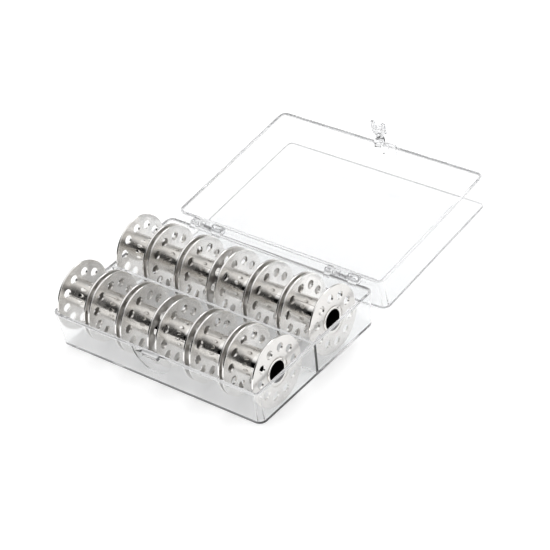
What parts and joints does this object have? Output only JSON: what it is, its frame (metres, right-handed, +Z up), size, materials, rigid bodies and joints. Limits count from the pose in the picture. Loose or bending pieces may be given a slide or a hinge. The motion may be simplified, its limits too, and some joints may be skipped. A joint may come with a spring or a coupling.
{
  "type": "bobbin case",
  "caption": "Clear hinged flip-top storage case, lid folded back, holding two rows of flanged metal sewing-machine bobbins.",
  "frame": {"origin": "centre of the base's flat underside", "axes": "+X along the case, to the right seen from its front; +Y from the front wall to the hinge and on to the opened lid; +Z up"},
  "size_m": [0.0752, 0.111, 0.022],
  "materials": {
    "clear_plastic_base": "clear crystal polystyrene, glossy",
    "clear_plastic_lid": "clear crystal polystyrene, glossy",
    "plated_steel_hub": "bright nickel-plated steel, turned",
    "plated_steel_flange": "bright nickel-plated steel, stamped"
  },
  "bodies": {
    "base": {"base_tray": "clear_plastic_base"},
    "lid": {"lid": "clear_plastic_lid"},
    "front_bobbin_1": {"front_bobbin_1_hub": "plated_steel_hub", "front_bobbin_1_left_flange": "plated_steel_flange", "front_bobbin_1_right_flange": "plated_steel_flange"},
    "front_bobbin_2": {"front_bobbin_2_hub": "plated_steel_hub", "front_bobbin_2_left_flange": "plated_steel_flange", "front_bobbin_2_right_flange": "plated_steel_flange"},
    "front_bobbin_3": {"front_bobbin_3_hub": "plated_steel_hub", "front_bobbin_3_left_flange": "plated_steel_flange", "front_bobbin_3_right_flange": "plated_steel_flange"},
    "front_bobbin_4": {"front_bobbin_4_hub": "plated_steel_hub", "front_bobbin_4_left_flange": "plated_steel_flange", "front_bobbin_4_right_flange": "plated_steel_flange"},
    "front_bobbin_5": {"front_bobbin_5_hub": "plated_steel_hub", "front_bobbin_5_left_flange": "plated_steel_flange", "front_bobbin_5_right_flange": "plated_steel_flange"},
    "front_bobbin_6": {"front_bobbin_6_hub": "plated_steel_hub", "front_bobbin_6_left_flange": "plated_steel_flange", "front_bobbin_6_right_flange": "plated_steel_flange"},
    "rear_bobbin_1": {"rear_bobbin_1_hub": "plated_steel_hub", "rear_bobbin_1_left_flange": "plated_steel_flange", "rear_bobbin_1_right_flange": "plated_steel_flange"},
    "rear_bobbin_2": {"rear_bobbin_2_hub": "plated_steel_hub", "rear_bobbin_2_left_flange": "plated_steel_flange", "rear_bobbin_2_right_flange": "plated_steel_flange"},
    "rear_bobbin_3": {"rear_bobbin_3_hub": "plated_steel_hub", "rear_bobbin_3_left_flange": "plated_steel_flange", "rear_bobbin_3_right_flange": "plated_steel_flange"},
    "rear_bobbin_4": {"rear_bobbin_4_hub": "plated_steel_hub", "rear_bobbin_4_left_flange": "plated_steel_flange", "rear_bobbin_4_right_flange": "plated_steel_flange"},
    "rear_bobbin_5": {"rear_bobbin_5_hub": "plated_steel_hub", "rear_bobbin_5_left_flange": "plated_steel_flange", "rear_bobbin_5_right_flange": "plated_steel_flange"},
    "rear_bobbin_6": {"rear_bobbin_6_hub": "plated_steel_hub", "rear_bobbin_6_left_flange": "plated_steel_flange", "rear_bobbin_6_right_flange": "plated_steel_flange"}
  },
  "joints": [
    {"name": "lid_hinge", "type": "hinge", "parent": "base", "child": "lid", "pos_m": [0, 0.0278, 0.01135], "axis": [-1, 0, 0], "range_deg": [-174.8, 0]},
    {"name": "front_bobbin_1_lift", "type": "slide", "parent": "base", "child": "front_bobbin_1", "axis": [0, 0, 1], "range_m": [0, 0.025]},
    {"name": "front_bobbin_2_lift", "type": "slide", "parent": "base", "child": "front_bobbin_2", "axis": [0, 0, 1], "range_m": [0, 0.025]},
    {"name": "front_bobbin_3_lift", "type": "slide", "parent": "base", "child": "front_bobbin_3", "axis": [0, 0, 1], "range_m": [0, 0.025]},
    {"name": "front_bobbin_4_lift", "type": "slide", "parent": "base", "child": "front_bobbin_4", "axis": [0, 0, 1], "range_m": [0, 0.025]},
    {"name": "front_bobbin_5_lift", "type": "slide", "parent": "base", "child": "front_bobbin_5", "axis": [0, 0, 1], "range_m": [0, 0.025]},
    {"name": "front_bobbin_6_lift", "type": "slide", "parent": "base", "child": "front_bobbin_6", "axis": [0, 0, 1], "range_m": [0, 0.025]},
    {"name": "rear_bobbin_1_lift", "type": "slide", "parent": "base", "child": "rear_bobbin_1", "axis": [0, 0, 1], "range_m": [0, 0.025]},
    {"name": "rear_bobbin_2_lift", "type": "slide", "parent": "base", "child": "rear_bobbin_2", "axis": [0, 0, 1], "range_m": [0, 0.025]},
    {"name": "rear_bobbin_3_lift", "type": "slide", "parent": "base", "child": "rear_bobbin_3", "axis": [0, 0, 1], "range_m": [0, 0.025]},
    {"name": "rear_bobbin_4_lift", "type": "slide", "parent": "base", "child": "rear_bobbin_4", "axis": [0, 0, 1], "range_m": [0, 0.025]},
    {"name": "rear_bobbin_5_lift", "type": "slide", "parent": "base", "child": "rear_bobbin_5", "axis": [0, 0, 1], "range_m": [0, 0.025]},
    {"name": "rear_bobbin_6_lift", "type": "slide", "parent": "base", "child": "rear_bobbin_6", "axis": [0, 0, 1], "range_m": [0, 0.025]}
  ]
}
